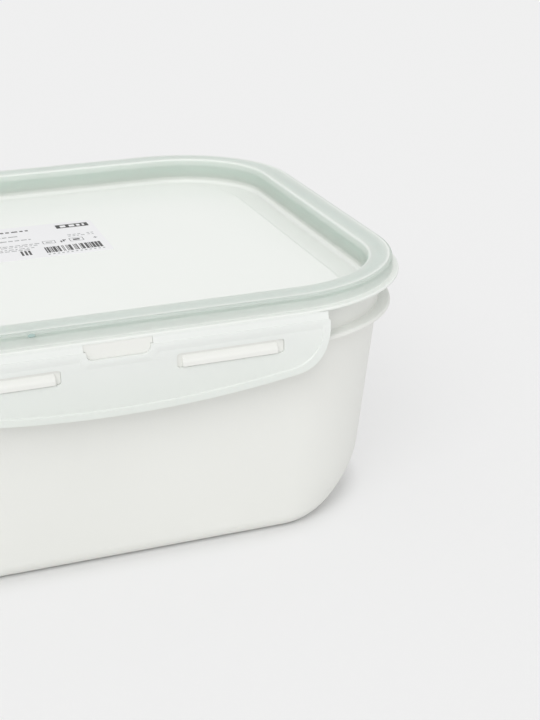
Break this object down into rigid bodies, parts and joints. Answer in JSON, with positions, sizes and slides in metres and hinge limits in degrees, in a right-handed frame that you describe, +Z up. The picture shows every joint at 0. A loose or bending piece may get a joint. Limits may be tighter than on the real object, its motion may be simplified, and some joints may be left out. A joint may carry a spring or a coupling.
{
  "type": "food storage container",
  "caption": "Shut rectangular food box: white tapered tub, milky recessed lid with a soft gasket in its rim, and snap flaps that hinge on the lid's lip.",
  "frame": {"origin": "centre of the tub's footprint, on the surface it stands on", "axes": "+X along the long sides, -Y towards the long front side, +Z up"},
  "size_m": [0.2448, 0.2198, 0.0985],
  "materials": {
    "tub": "opaque white moulded plastic",
    "lid": "milky natural plastic, slightly see-through",
    "gasket": "mint green silicone",
    "label": "white paper with dark print",
    "flap": "milky natural plastic, slightly see-through"
  },
  "bodies": {
    "box": {"tub": "tub", "lid": "lid", "gasket": "gasket", "label": "label"},
    "front_flap": {"flap_front": "flap"},
    "right_flap": {"flap_right": "flap"},
    "back_flap": {"flap_back": "flap"},
    "left_flap": {"flap_left": "flap"}
  },
  "joints": [
    {"name": "front_flap_hinge", "type": "hinge", "parent": "box", "child": "front_flap", "pos_m": [0, -0.10825, 0.0916], "axis": [-1, 0, 0], "range_deg": [0, 120]},
    {"name": "right_flap_hinge", "type": "hinge", "parent": "box", "child": "right_flap", "pos_m": [0.12075, 0, 0.0916], "axis": [0, -1, 0], "range_deg": [0, 120]},
    {"name": "back_flap_hinge", "type": "hinge", "parent": "box", "child": "back_flap", "pos_m": [0, 0.10825, 0.0916], "axis": [1, 0, 0], "range_deg": [0, 120]},
    {"name": "left_flap_hinge", "type": "hinge", "parent": "box", "child": "left_flap", "pos_m": [-0.12075, 0, 0.0916], "axis": [0, 1, 0], "range_deg": [0, 120]}
  ]
}
